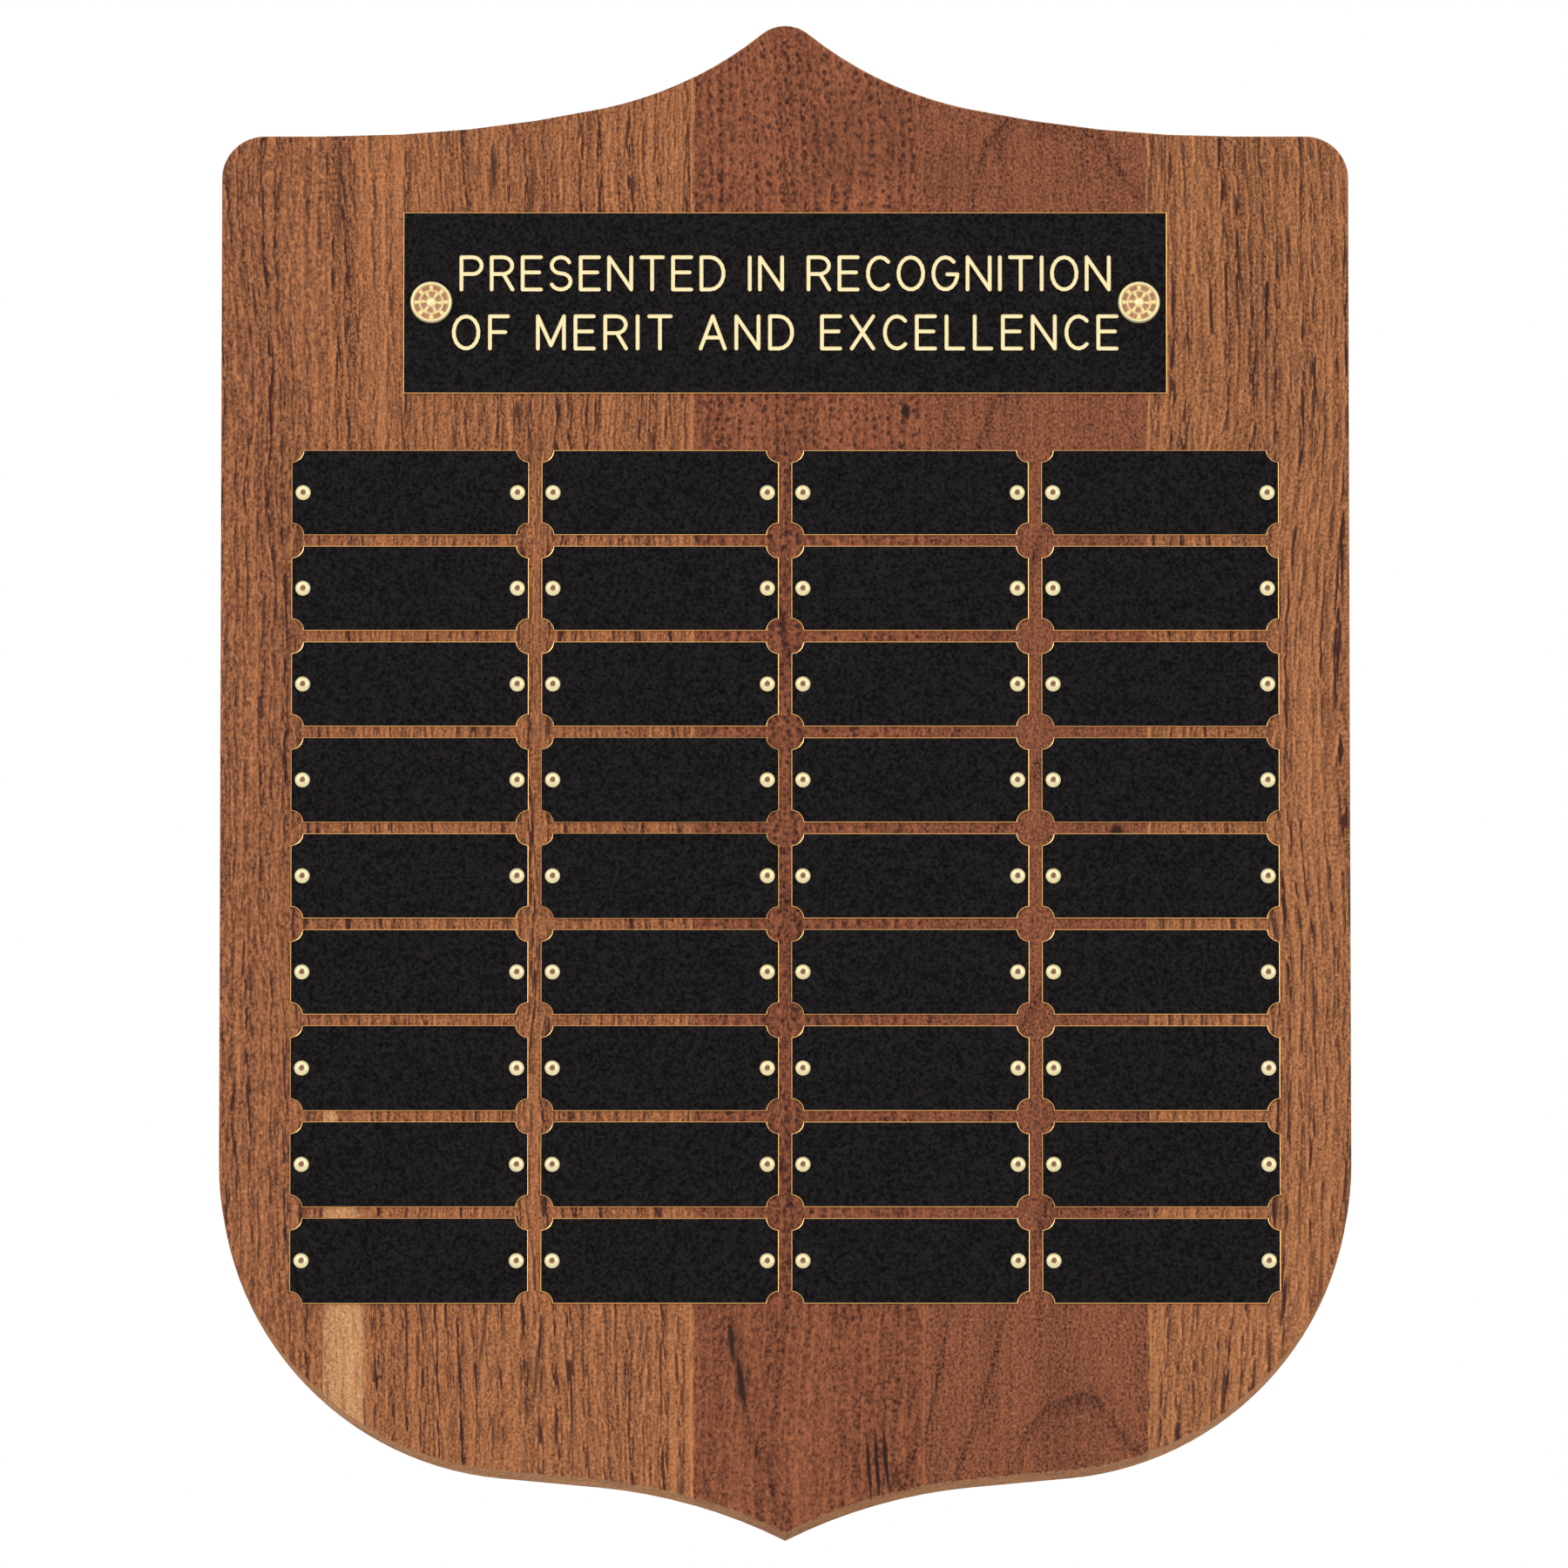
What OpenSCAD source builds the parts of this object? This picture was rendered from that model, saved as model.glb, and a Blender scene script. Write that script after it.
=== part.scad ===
// Shield-shaped perpetual award plaque: five edge-glued walnut staves, a header plate, a grid
// of small name plates, the pins and tacks that hold them, and a keyhole hanger in the back.
//
// Every piece is drawn lying on its back: X to the right, Y up the board and Z out of its
// front. stand_up() then turns it, so the finished plaque stands along +Z and faces -Y.
// The origin is the centre of the hanger's round hole, in the plane of the back.

/* [Board] */
// Width of the board
board_w = 301.6; // [290:0.1:330]
// Height of the board, from the peak to the bottom point
board_h = 406.4; // [400:0.1:440]
// Thickness of the board
board_t = 19.05; // [16:0.05:25.4]
// Depth of the hanger's round hole below the peak
hanger_drop = 57; // [50:1:80]
// Width of the first stave, at the left edge
stave_1_w = 27.8; // [25:0.1:36]
// Width of the second stave
stave_2_w = 98.8; // [90:0.1:106]
// Width of the third stave, which carries the hanger
stave_3_w = 60.4; // [50:0.1:66]
// Width of the fourth stave; the fifth takes what is left of the board
stave_4_w = 60.3; // [56:0.1:66]

/* [Outline] */
// Radius of the rounded peak
peak_r = 9.8; // [6:0.1:14]
// Slope of the outline where the peak's round ends
peak_angle = 39; // [30:1:42]
// Radius of the hollow sweep beside the peak
near_sweep_r = 101; // [80:1:110]
// Slope where the two hollow sweeps meet
blend_angle = 12; // [8:1:14]
// Radius of the long hollow sweep that runs out to the shoulder
far_sweep_r = 345; // [250:1:380]
// Radius of the two shoulder corners
shoulder_r = 11.5; // [6:0.5:20]
// Radius of the two big lower corners
lower_corner_r = 82.5; // [60:0.5:88]
// Slope of the short straight stretch beside each lower corner
flat_angle = 5.3; // [3:0.1:8]
// Radius of the hollow sweep that runs down to the bottom point
tip_sweep_r = 139; // [100:1:150]
// Slope of the outline at the bottom point
tip_angle = 26.8; // [20:0.1:30]

/* [Header plate] */
// Width of the header plate
header_w = 204.4; // [196:0.1:220]
// Height of the header plate
header_h = 49.1; // [30:0.1:52]
// Thickness of the header plate
header_t = 0.6; // [0.4:0.1:1.5]
// Distance from the peak down to the header plate's top edge
header_drop = 50.8; // [45:0.1:60]
// Distance of each tack from the header plate's end
tack_inset = 7.5; // [7:0.1:12]

/* [Name plates] */
// Rows of name plates
plate_rows = 9; // [1:1:9]
// Columns of name plates
plate_columns = 4; // [1:1:4]
// Width of one name plate
plate_w = 63.5; // [55:0.1:64]
// Height of one name plate
plate_h = 23; // [16:0.1:23]
// Thickness of one name plate
plate_t = 0.5; // [0.4:0.1:1]
// Radius of the scallop cut from each corner of a name plate
scallop_r = 3.2; // [1:0.1:5]
// Distance from one column of name plates to the next
column_pitch = 66.8; // [65:0.1:68]
// Distance from one row of name plates to the next
row_pitch = 25.85; // [24:0.05:26]
// Distance from the peak down to the first row's top edge
first_row_drop = 115.2; // [114:0.1:120]
// Distance of each pin from the end of its name plate
pin_inset = 3.1; // [2.5:0.05:4]

/* [Pins and tacks] */
// Radius of a pin's domed head
pin_head_r = 2; // [1.5:0.1:2.3]
// Height of a pin's domed head
pin_head_h = 1.1; // [0.6:0.1:1.4]
// Radius of a pin's shank
pin_shank_r = 0.6; // [0.4:0.05:0.75]
// Length of a pin's shank, with its point
pin_l = 10; // [6:0.5:12]
// Radius of a tack's decorated head
tack_head_r = 5.6; // [4:0.1:7]
// Radius of a tack's shank
tack_shank_r = 0.9; // [0.7:0.05:1.1]
// Length of a tack's shank, with its point
tack_l = 12; // [8:0.5:14]

/* [Hanger] */
// Width of the hanger plate, which has fully round ends
hanger_w = 16; // [14:0.5:20]
// Thickness of the hanger plate
hanger_t = 1.2; // [1:0.1:1.5]
// Radius of the round hole that the wall screw's head goes in through
entry_r = 4.5; // [4:0.1:5]
// Radius of the slot that the wall screw's neck slides up
slot_r = 2.2; // [2.1:0.1:2.4]
// Distance from the round hole's centre up to the slot's round end
slot_rise = 12; // [10:0.5:12]
// Depth of the pocket behind the hanger plate for the wall screw's head
pocket_depth = 5.5; // [5:0.1:8]
// Length of each hanger screw
screw_l = 12.7; // [9:0.1:14]

/* [Hidden] */
$fn = 48;
stave_count = 5;
arc_step = 3;                // largest turn between two points of an outline arc
pilot_gap = 0.05;            // room round a shank in its pilot hole
pilot_extra = 0.3;           // pilot depth past the point of a shank
plate_hole_gap = 0.2;        // room round a shank in its plate
through = 1;                 // how far a cutter runs past the face that it cuts

peak_y = hanger_drop;
tip_y = peak_y - board_h;
front_z = board_t;
half_w = board_w / 2;

// Hollow sweeps at the top: each ends where its slope does, and the next carries on
peak_end = [peak_r * sin(peak_angle), peak_y - peak_r * (1 - cos(peak_angle))];
near_centre = peak_end + near_sweep_r * [sin(peak_angle), cos(peak_angle)];
near_end = near_centre - near_sweep_r * [sin(blend_angle), cos(blend_angle)];
far_centre = near_end + far_sweep_r * [sin(blend_angle), cos(blend_angle)];
shoulder_y = far_centre[1] - far_sweep_r;

// Bottom: the sweep is set out from the point, and the corner rests on its straight stretch
tip_centre = [tip_sweep_r * sin(tip_angle), tip_y - tip_sweep_r * cos(tip_angle)];
sweep_start = tip_centre + tip_sweep_r * [-sin(flat_angle), cos(flat_angle)];
corner_x = half_w - lower_corner_r;
corner_end_x = corner_x + lower_corner_r * sin(flat_angle);
corner_end_y = sweep_start[1] + (corner_end_x - sweep_start[0]) * tan(flat_angle);
corner_y = corner_end_y + lower_corner_r * cos(flat_angle);

// Left edge of each stave, and the right edge of the last
seams = [
    -half_w,
    -half_w + stave_1_w,
    -half_w + stave_1_w + stave_2_w,
    -half_w + stave_1_w + stave_2_w + stave_3_w,
    -half_w + stave_1_w + stave_2_w + stave_3_w + stave_4_w,
    half_w
];
walnuts = [
    [0.55, 0.36, 0.25],
    [0.60, 0.39, 0.27],
    [0.51, 0.31, 0.22],
    [0.52, 0.32, 0.23],
    [0.60, 0.40, 0.27]
];

header_y = peak_y - header_drop - header_h / 2;
header_front = front_z + header_t;
plate_front = front_z + plate_t;
tack_x = header_w / 2 - tack_inset;
pin_dx = plate_w / 2 - pin_inset;
pin_tip_l = 1.6;
pin_tip_r = 0.15;
tack_tip_l = 2.4;
tack_tip_r = 0.2;

// Head of a tack: a flat collar, a raised rim, a ring of petals and a centre boss
collar_h = 0.7;
rim_r = 0.75;
petal_count = 8;
petal_r = 0.95;
petal_ring_r = 3.05;
boss_r = 1.35;

end_r = hanger_w / 2;
screw_y = [-12, slot_rise + 10];
screw_edge = 6;              // from a hanger screw's centre to the end of the hanger plate
screw_head_r = 2.75;
screw_shank_r = 1.45;
screw_cone_h = screw_head_r - screw_shank_r;
screw_tip_l = 2.5;
screw_tip_r = 0.3;
sink_gap = 0.05;             // room round a screw's head in its countersink
sink_r = screw_head_r + sink_gap;
sink_h = hanger_t + 2 * through;
cross_w = 0.7;
cross_l = 3.2;
cross_depth = 1;
recess_gap = 0.2;            // room round the hanger plate in its recess
pocket_r = entry_r + 0.7;

function stave_name(i) = str("stave_", i);
function plate_name(row, column) = str("name_plate_r", row, "_c", column);

// Centre of a name plate; rows count down from the top and columns from the left
function plate_x(column) = (column - (plate_columns + 1) / 2) * column_pitch;
function plate_y(row) = peak_y - first_row_drop - plate_h / 2 - (row - 1) * row_pitch;

// Points along an arc, both ends included; tail() drops the first, where stretches are tangent
function arc(centre, r, from, to) =
    let (steps = ceil(abs(to - from) / arc_step))
    [for (i = [0 : steps]) let (a = from + (to - from) * i / steps) centre + r * [cos(a), sin(a)]];
function tail(points) = [for (i = [1 : len(points) - 1]) points[i]];

function right_half() = concat(
    arc([0, peak_y - peak_r], peak_r, 90, 90 - peak_angle),
    tail(arc(near_centre, near_sweep_r, 270 - peak_angle, 270 - blend_angle)),
    tail(arc(far_centre, far_sweep_r, 270 - blend_angle, 270)),
    arc([half_w - shoulder_r, shoulder_y - shoulder_r], shoulder_r, 90, 0),
    arc([corner_x, corner_y], lower_corner_r, 0, flat_angle - 90),
    arc(tip_centre, tip_sweep_r, 90 + flat_angle, 90 + tip_angle)
);

// The right half from the peak to the point, then its mirror image back up to the peak
function shield_points() =
    let (half = right_half(), last = len(half) - 1)
    concat(half, [for (i = [last - 1 : -1 : 1]) [-half[i][0], half[i][1]]]);

module stand_up() {
    rotate([90, 0, 0])
        children();
}

// A round-ended slot from one height to another, on the board's centre line
module slot_shape(r, from_y, to_y) {
    translate([0, from_y])
        circle(r = r);
    translate([0, to_y])
        circle(r = r);
    translate([-r, from_y])
        square([2 * r, to_y - from_y]);
}

// A straight shank with a blunt cone for its point, hanging down from z = 0
module shank(r, l, tip_l, tip_r) {
    translate([0, 0, -l]) {
        translate([0, 0, tip_l])
            cylinder(r = r, h = l - tip_l);
        cylinder(r1 = tip_r, r2 = r, h = tip_l);
    }
}

module pilot_hole(x, y, r, depth) {
    translate([x, y, front_z - depth])
        cylinder(r = r, h = depth + through);
}

// Pilot holes for the pins and tacks that stand between two heights across the board
module front_pilots(left, right) {
    for (row = [1 : plate_rows])
        for (column = [1 : plate_columns])
            for (side = [-1, 1]) {
                x = plate_x(column) + side * pin_dx;
                if (x > left && x < right)
                    pilot_hole(x, plate_y(row), pin_shank_r + pilot_gap, pin_l - plate_t + pilot_extra);
            }
    for (x = [-tack_x, tack_x])
        if (x > left && x < right)
            pilot_hole(x, header_y, tack_shank_r + pilot_gap, tack_l - header_t + pilot_extra);
}

// Everything cut into the back for the hanger: its recess, the pocket and two pilot holes
module hanger_cut() {
    translate([0, 0, -through])
        linear_extrude(hanger_t + through)
            slot_shape(end_r + recess_gap, screw_y[0] - screw_edge + end_r, screw_y[1] + screw_edge - end_r);
    linear_extrude(hanger_t + pocket_depth)
        slot_shape(pocket_r, 0, slot_rise);
    for (y = screw_y)
        translate([0, y, 0])
            cylinder(r = screw_shank_r + pilot_gap, h = screw_l + pilot_extra);
    for (y = screw_y)
        translate([0, y, 0])
            cylinder(r1 = sink_r, r2 = 0.1, h = sink_r - 0.1);
}

module stave(i) {
    left = seams[i - 1];
    right = seams[i];
    color(walnuts[i - 1])
        stand_up()
            difference() {
                linear_extrude(board_t)
                    intersection() {
                        polygon(shield_points());
                        translate([left, tip_y])
                            square([right - left, board_h]);
                    }
                front_pilots(left, right);
                if (left < 0 && right > 0)
                    hanger_cut();
            }
}

module header_plate() {
    color([0.13, 0.12, 0.12])
        stand_up()
            translate([0, header_y, front_z])
                linear_extrude(header_t)
                    difference() {
                        square([header_w, header_h], center = true);
                        for (x = [-tack_x, tack_x])
                            translate([x, 0])
                                circle(r = tack_shank_r + plate_hole_gap);
                    }
}

module tack() {
    shank(tack_shank_r, tack_l, tack_tip_l, tack_tip_r);
    cylinder(r = tack_head_r, h = collar_h);
    translate([0, 0, collar_h])
        rotate_extrude()
            translate([tack_head_r - rim_r, 0])
                circle(r = rim_r, $fn = 24);
    for (i = [1 : petal_count])
        rotate([0, 0, i * 360 / petal_count])
            translate([petal_ring_r, 0, collar_h])
                sphere(r = petal_r, $fn = 24);
    translate([0, 0, collar_h])
        sphere(r = boss_r, $fn = 24);
}

module header_tacks() {
    color([0.85, 0.68, 0.33])
        stand_up()
            for (x = [-tack_x, tack_x])
                translate([x, header_y, header_front])
                    tack();
}

module name_plate(row, column) {
    color([0.13, 0.12, 0.12])
        stand_up()
            translate([plate_x(column), plate_y(row), front_z])
                linear_extrude(plate_t)
                    difference() {
                        square([plate_w, plate_h], center = true);
                        for (sx = [-1, 1])
                            for (sy = [-1, 1])
                                translate([sx * plate_w / 2, sy * plate_h / 2])
                                    circle(r = scallop_r);
                        for (side = [-1, 1])
                            translate([side * pin_dx, 0])
                                circle(r = pin_shank_r + plate_hole_gap);
                    }
}

// A pin's dome is the top of a sphere that meets the plate at the head's edge
module pin() {
    dome_r = (pin_head_r * pin_head_r + pin_head_h * pin_head_h) / (2 * pin_head_h);
    shank(pin_shank_r, pin_l, pin_tip_l, pin_tip_r);
    intersection() {
        translate([0, 0, pin_head_h - dome_r])
            sphere(r = dome_r);
        cylinder(r = dome_r, h = dome_r);
    }
}

module name_plate_pins() {
    color([0.85, 0.68, 0.33])
        stand_up()
            for (row = [1 : plate_rows])
                for (column = [1 : plate_columns])
                    for (side = [-1, 1])
                        translate([plate_x(column) + side * pin_dx, plate_y(row), plate_front])
                            pin();
}

module hanger_plate() {
    color([0.72, 0.73, 0.75])
        stand_up()
            difference() {
                linear_extrude(hanger_t)
                    difference() {
                        slot_shape(end_r, screw_y[0] - screw_edge + end_r, screw_y[1] + screw_edge - end_r);
                        circle(r = entry_r);
                        slot_shape(slot_r, 0, slot_rise);
                    }
                for (y = screw_y)
                    translate([0, y, -through])
                        cylinder(r1 = sink_r + through, r2 = sink_r + through - sink_h, h = sink_h);
            }
}

// A countersunk wood screw with its head's flat at z = 0 and its point up the Z axis
module hanger_screw() {
    difference() {
        union() {
            cylinder(r1 = screw_head_r, r2 = screw_shank_r, h = screw_cone_h);
            mirror([0, 0, 1])
                translate([0, 0, -screw_cone_h])
                    shank(screw_shank_r, screw_l - screw_cone_h, screw_tip_l, screw_tip_r);
        }
        for (turn = [0, 90])
            rotate([0, 0, turn])
                translate([-cross_l / 2, -cross_w / 2, -through])
                    cube([cross_l, cross_w, cross_depth + through]);
    }
}

module hanger_screws() {
    color([0.78, 0.76, 0.68])
        stand_up()
            for (y = screw_y)
                translate([0, y, 0])
                    hanger_screw();
}

for (i = [1 : stave_count])
    stave(i);
header_plate();
header_tacks();
for (row = [1 : plate_rows])
    for (column = [1 : plate_columns])
        name_plate(row, column);
name_plate_pins();
hanger_plate();
hanger_screws();
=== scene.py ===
"""Looks of the shield-shaped walnut award plaque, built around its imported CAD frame.

The plaque stands along +Z and faces -Y. Lengths are in metres; MM turns millimetres into them.
Each material has its own function, and so has each kind of piece.
"""

import math

import bmesh
import bpy
import numpy as np
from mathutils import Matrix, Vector


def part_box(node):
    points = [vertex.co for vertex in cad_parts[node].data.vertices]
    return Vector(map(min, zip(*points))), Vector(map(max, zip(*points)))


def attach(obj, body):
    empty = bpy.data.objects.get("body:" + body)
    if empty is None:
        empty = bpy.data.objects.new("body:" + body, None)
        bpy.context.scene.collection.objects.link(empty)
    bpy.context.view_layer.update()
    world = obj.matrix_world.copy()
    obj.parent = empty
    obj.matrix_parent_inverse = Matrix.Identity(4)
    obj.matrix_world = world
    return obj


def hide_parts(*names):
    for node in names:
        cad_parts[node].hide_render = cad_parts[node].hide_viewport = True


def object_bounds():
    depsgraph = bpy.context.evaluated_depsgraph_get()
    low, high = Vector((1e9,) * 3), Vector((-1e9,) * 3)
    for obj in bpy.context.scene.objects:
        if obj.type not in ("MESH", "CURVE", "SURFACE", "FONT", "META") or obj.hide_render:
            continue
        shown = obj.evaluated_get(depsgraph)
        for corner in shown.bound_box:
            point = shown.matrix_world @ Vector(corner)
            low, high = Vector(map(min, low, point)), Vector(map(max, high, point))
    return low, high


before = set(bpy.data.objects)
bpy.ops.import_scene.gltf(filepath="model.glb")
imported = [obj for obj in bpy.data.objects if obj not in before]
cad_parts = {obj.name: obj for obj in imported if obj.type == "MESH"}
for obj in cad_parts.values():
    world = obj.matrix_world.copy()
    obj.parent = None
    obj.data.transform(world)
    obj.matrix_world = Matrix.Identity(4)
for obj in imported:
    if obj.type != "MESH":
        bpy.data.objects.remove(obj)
cad_low, cad_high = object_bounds()

MM = 0.001
BODY = "root"
STAVES = [f"stave_{i}" for i in range(1, 6)]
NAME_PLATES = sorted(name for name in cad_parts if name.startswith("name_plate_r"))

PEAK_STAVE = "stave_3"
FRONT_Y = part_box(PEAK_STAVE)[0].y
BACK_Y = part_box(PEAK_STAVE)[1].y
PEAK_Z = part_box(PEAK_STAVE)[1].z


def below_peak(distance):
    """Height of a place on the board, given its distance below the peak in millimetres."""
    return PEAK_Z / MM - distance


# ---- Shader nodes ----


def srgb(red, green, blue):
    """Linear colour of a screen colour given from 0 to 255."""

    def linear(level):
        level /= 255
        return level / 12.92 if level <= 0.04045 else ((level + 0.055) / 1.055) ** 2.4

    return (linear(red), linear(green), linear(blue), 1.0)


# Where most of a noise's values lie
NOISE_LOW, NOISE_HIGH = 0.3, 0.7


class Shader:
    """Adds nodes to a material, or to the world, and joins them."""

    def __init__(self, owner):
        self.owner = owner
        self.owner.use_nodes = True
        self.tree = owner.node_tree
        self.tree.nodes.clear()

    def add(self, kind, inputs=None, **settings):
        """A new node. Each of its inputs is a value, or another node's output to join to it."""
        node = self.tree.nodes.new(kind)
        for key, value in settings.items():
            setattr(node, key, value)
        for key, value in (inputs or {}).items():
            if isinstance(value, bpy.types.NodeSocket):
                self.tree.links.new(value, node.inputs[key])
            else:
                node.inputs[key].default_value = value
        return node

    def math(self, operation, *values, clamp=False):
        inputs = dict(enumerate(values))
        return self.add("ShaderNodeMath", inputs, operation=operation, use_clamp=clamp).outputs[0]

    def times(self, first, second):
        return self.math("MULTIPLY", first, second)

    def sum_of_squares(self, first, second):
        return self.math("ADD", self.times(first, first), self.times(second, second))

    def position_mm(self):
        """Place on the plaque in millimetres, in the plaque's own frame."""
        place = self.add("ShaderNodeTexCoord").outputs["Object"]
        return self.stretched(place, (1 / MM, 1 / MM, 1 / MM))

    def normal(self):
        return self.add("ShaderNodeTexCoord").outputs["Normal"]

    def stretched(self, vector, factors):
        inputs = {0: vector, 1: factors}
        return self.add("ShaderNodeVectorMath", inputs, operation="MULTIPLY").outputs[0]

    def moved(self, vector, offset):
        inputs = {0: vector, 1: offset}
        return self.add("ShaderNodeVectorMath", inputs, operation="ADD").outputs[0]

    def split(self, vector):
        return self.add("ShaderNodeSeparateXYZ", {0: vector}).outputs

    def joined(self, x, y, z):
        return self.add("ShaderNodeCombineXYZ", {0: x, 1: y, 2: z}).outputs[0]

    def noise(self, vector, detail=3.0, roughness=0.5, scale=1.0):
        inputs = {"Vector": vector, "Scale": scale, "Detail": detail, "Roughness": roughness}
        return self.add("ShaderNodeTexNoise", inputs).outputs[0]

    def cells(self, vector, randomness=1.0, dimensions="3D"):
        """Distance to the middle of the nearest cell, and that cell's own colour."""
        inputs = {"Vector": vector, "Scale": 1.0, "Randomness": randomness}
        node = self.add("ShaderNodeTexVoronoi", inputs, voronoi_dimensions=dimensions)
        return node.outputs["Distance"], node.outputs["Color"]

    def ranged(self, value, low, high, new_low=0.0, new_high=1.0):
        """value moved smoothly from low..high to new_low..new_high, and kept inside it."""
        inputs = {0: value, 1: low, 2: high, 3: new_low, 4: new_high}
        return self.add("ShaderNodeMapRange", inputs, interpolation_type="SMOOTHSTEP").outputs[0]

    def spread(self, noise, new_low, new_high):
        """A noise moved from its usual values to new_low..new_high."""
        return self.ranged(noise, NOISE_LOW, NOISE_HIGH, new_low, new_high)

    def mix(self, factor, first, second):
        """A colour between the first, at a factor of 0, and the second, at 1."""
        inputs = {0: factor, 6: first, 7: second}
        return self.add("ShaderNodeMix", inputs, data_type="RGBA", clamp_factor=True).outputs[2]

    def bump(self, height, strength, distance):
        inputs = {"Strength": strength, "Distance": distance, "Height": height}
        return self.add("ShaderNodeBump", inputs).outputs[0]

    def surface(self, **inputs):
        """The finished material; a space in a socket's name is written as an underscore."""
        sockets = {key.replace("_", " "): value for key, value in inputs.items()}
        shader = self.add("ShaderNodeBsdfPrincipled", sockets)
        self.add("ShaderNodeOutputMaterial", {0: shader.outputs[0]})
        return self.owner


def material_shader(name):
    return Shader(bpy.data.materials.new(name))


# ---- Walnut ----

# One look per stave, with these keys:
#   dark, light      the ends of its colour range
#   bands, streaks   how far broad bands and long thin streaks move it along that range
#   hairs, grit      how far fine hairs and round grains move it
#   pitch            spacing of its rows of pores, in mm
#   between          share of its pores that shows between the rows
#   dashes, specks   how dark its long and its short pores are
#   dots             how dark its round pores are
#   lips             how pale the wood beside a pore is
#   foot             share of the short and round pores that is left at the board's foot
#   fade             how much lighter the wood grows towards the foot
#   rings, ring      how dark its growth rings are, and their spacing in mm
#   pith             where the tree's centre lies, in x and y, in mm
#   lean             how the pith tips along the grain, which opens the rings into arches
#   offset           where in the endless pattern the stave is cut, in mm
WALNUTS = {
    "stave_1": dict(
        dark=(56, 22, 17), light=(199, 128, 82), bands=0.45, streaks=0.60, hairs=0.60, grit=1.8,
        pitch=3.3, between=0.38, dashes=1.0, specks=0.40, dots=0.2, lips=0.6, foot=1.0,
        fade=0.13, rings=0.10, pith=(-520, 160), lean=0.02, ring=5.5, offset=(11, 4, 30),
    ),
    "stave_2": dict(
        dark=(56, 20, 16), light=(208, 135, 85), bands=0.45, streaks=0.65, hairs=0.60, grit=1.8,
        pitch=4.0, between=0.32, dashes=1.0, specks=0.36, dots=0.0, lips=0.6, foot=1.0,
        fade=0.07, rings=0.10, pith=(420, 120), lean=0.03, ring=6.5, offset=(43, 9, 75),
    ),
    "stave_3": dict(
        dark=(46, 14, 13), light=(187, 112, 74), bands=0.45, streaks=0.30, hairs=0.35, grit=1.5,
        pitch=3.4, between=0.15, dashes=0.20, specks=0.45, dots=0.85, lips=0.40, foot=0.35,
        fade=-0.06, rings=0.12, pith=(20, -12), lean=0.12, ring=9.0, offset=(87, 2, 140),
    ),
    "stave_4": dict(
        dark=(46, 16, 14), light=(178, 108, 73), bands=0.34, streaks=0.34, hairs=0.34, grit=2.1,
        pitch=4.0, between=0.30, dashes=0.15, specks=0.35, dots=0.0, lips=0.25, foot=0.7,
        fade=0.01, rings=0.20, pith=(85.2, 67.5), lean=-0.15, ring=8.65, offset=(135, 7, 210),
    ),
    "stave_5": dict(
        dark=(56, 22, 17), light=(208, 137, 87), bands=0.40, streaks=0.45, hairs=0.60, grit=1.8,
        pitch=3.3, between=0.35, dashes=1.0, specks=0.36, dots=0.0, lips=0.6, foot=1.0,
        fade=0.08, rings=0.08, pith=(560, 120), lean=-0.03, ring=7.0, offset=(190, 5, 260),
    ),
}
MIDDLE_TONE = 0.45
PORE = srgb(50, 21, 20)
MINERAL = srgb(46, 25, 21)
# Pale end-grain colours of the sawn edges: partly the end grain's own colour, partly a painted
# sheen
END_GRAIN_AND_SHEEN = srgb(208, 158, 118)
END_GRAIN_AND_SHEEN_DARK = srgb(112, 72, 50)

# Distances below the peak, in mm, between which the wood fades and its small pores thin out
FADE_START, FADE_END = 40, 360
THIN_START, THIN_END = 290, 370

# Noises in the wood: how fine each is across and along the grain, per mm, its detail and its
# roughness
LAYERS = {
    "wander": (0.020, 0.009, 1.0, 0.5),
    "ripple": (0.10, 0.022, 2.0, 0.5),
    "bands": (0.08, 0.0035, 2.0, 0.5),
    "streaks": (0.55, 0.014, 4.0, 0.6),
    "grit": (1.5, 1.15, 2.0, 0.6),
    "hairs": (1.25, 0.11, 2.0, 0.6),
    "uneven_rings": (0.05, 0.015, 1.0, 0.5),
    "uneven_rows": (0.15, 0.012, 1.0, 0.5),
    "dot_sizes": (0.5, 0.3, 1.0, 0.5),
    "sapwood_edge": (0.5, 0.03, 2.0, 0.5),
    "line_breaks": (0.9, 0.05, 2.0, 0.5),
    "mark_edges": (0.35, 0.14, 1.0, 0.5),
}
FIGURE = ("bands", "streaks", "grit", "hairs")
WANDER_MM = 12.0
RIPPLE_MM = 2.0

# Where a growth ring darkens and is darkest, as shares of its width, and how unevenly rings lie
RING_DARKENS, RING_DARKEST = 0.84, 0.97
RING_UNEVENNESS = 0.7

# Kinds of pore: width and length in mm, and the noise where a pore starts and where it is full
LONG_PORES = (0.42, 3.8, 0.475, 0.555)
SHORT_PORES = (0.62, 1.15, 0.47, 0.60)
PORE_STRENGTH = 0.93
LIP_OFFSET = 0.75

# Rows of pores: half widths as shares of the pitch, and how unevenly the rows lie
ROW_OUTSIDE, ROW_MIDDLE = 0.40, 0.08
ROW_UNEVENNESS = 1.1

# The noise of a dark and of a light streak, and the light one's share of the long pores
DARK_STREAK, LIGHT_STREAK = 0.40, 0.60
LIGHT_STREAK_PORES = 0.45

# Round pores: how many per mm across and along the grain, how freely they lie, the distances
# from a pore's middle where it ends and where it is full, how much these vary, and how dark
# those between the rows are
DOTS_ACROSS, DOTS_ALONG = 0.42, 0.36
DOT_FREEDOM = 0.85
DOT_OUTSIDE, DOT_MIDDLE = 0.31, 0.15
DOT_VARIETY = 0.45
STRAY_DOTS = 0.30

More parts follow.
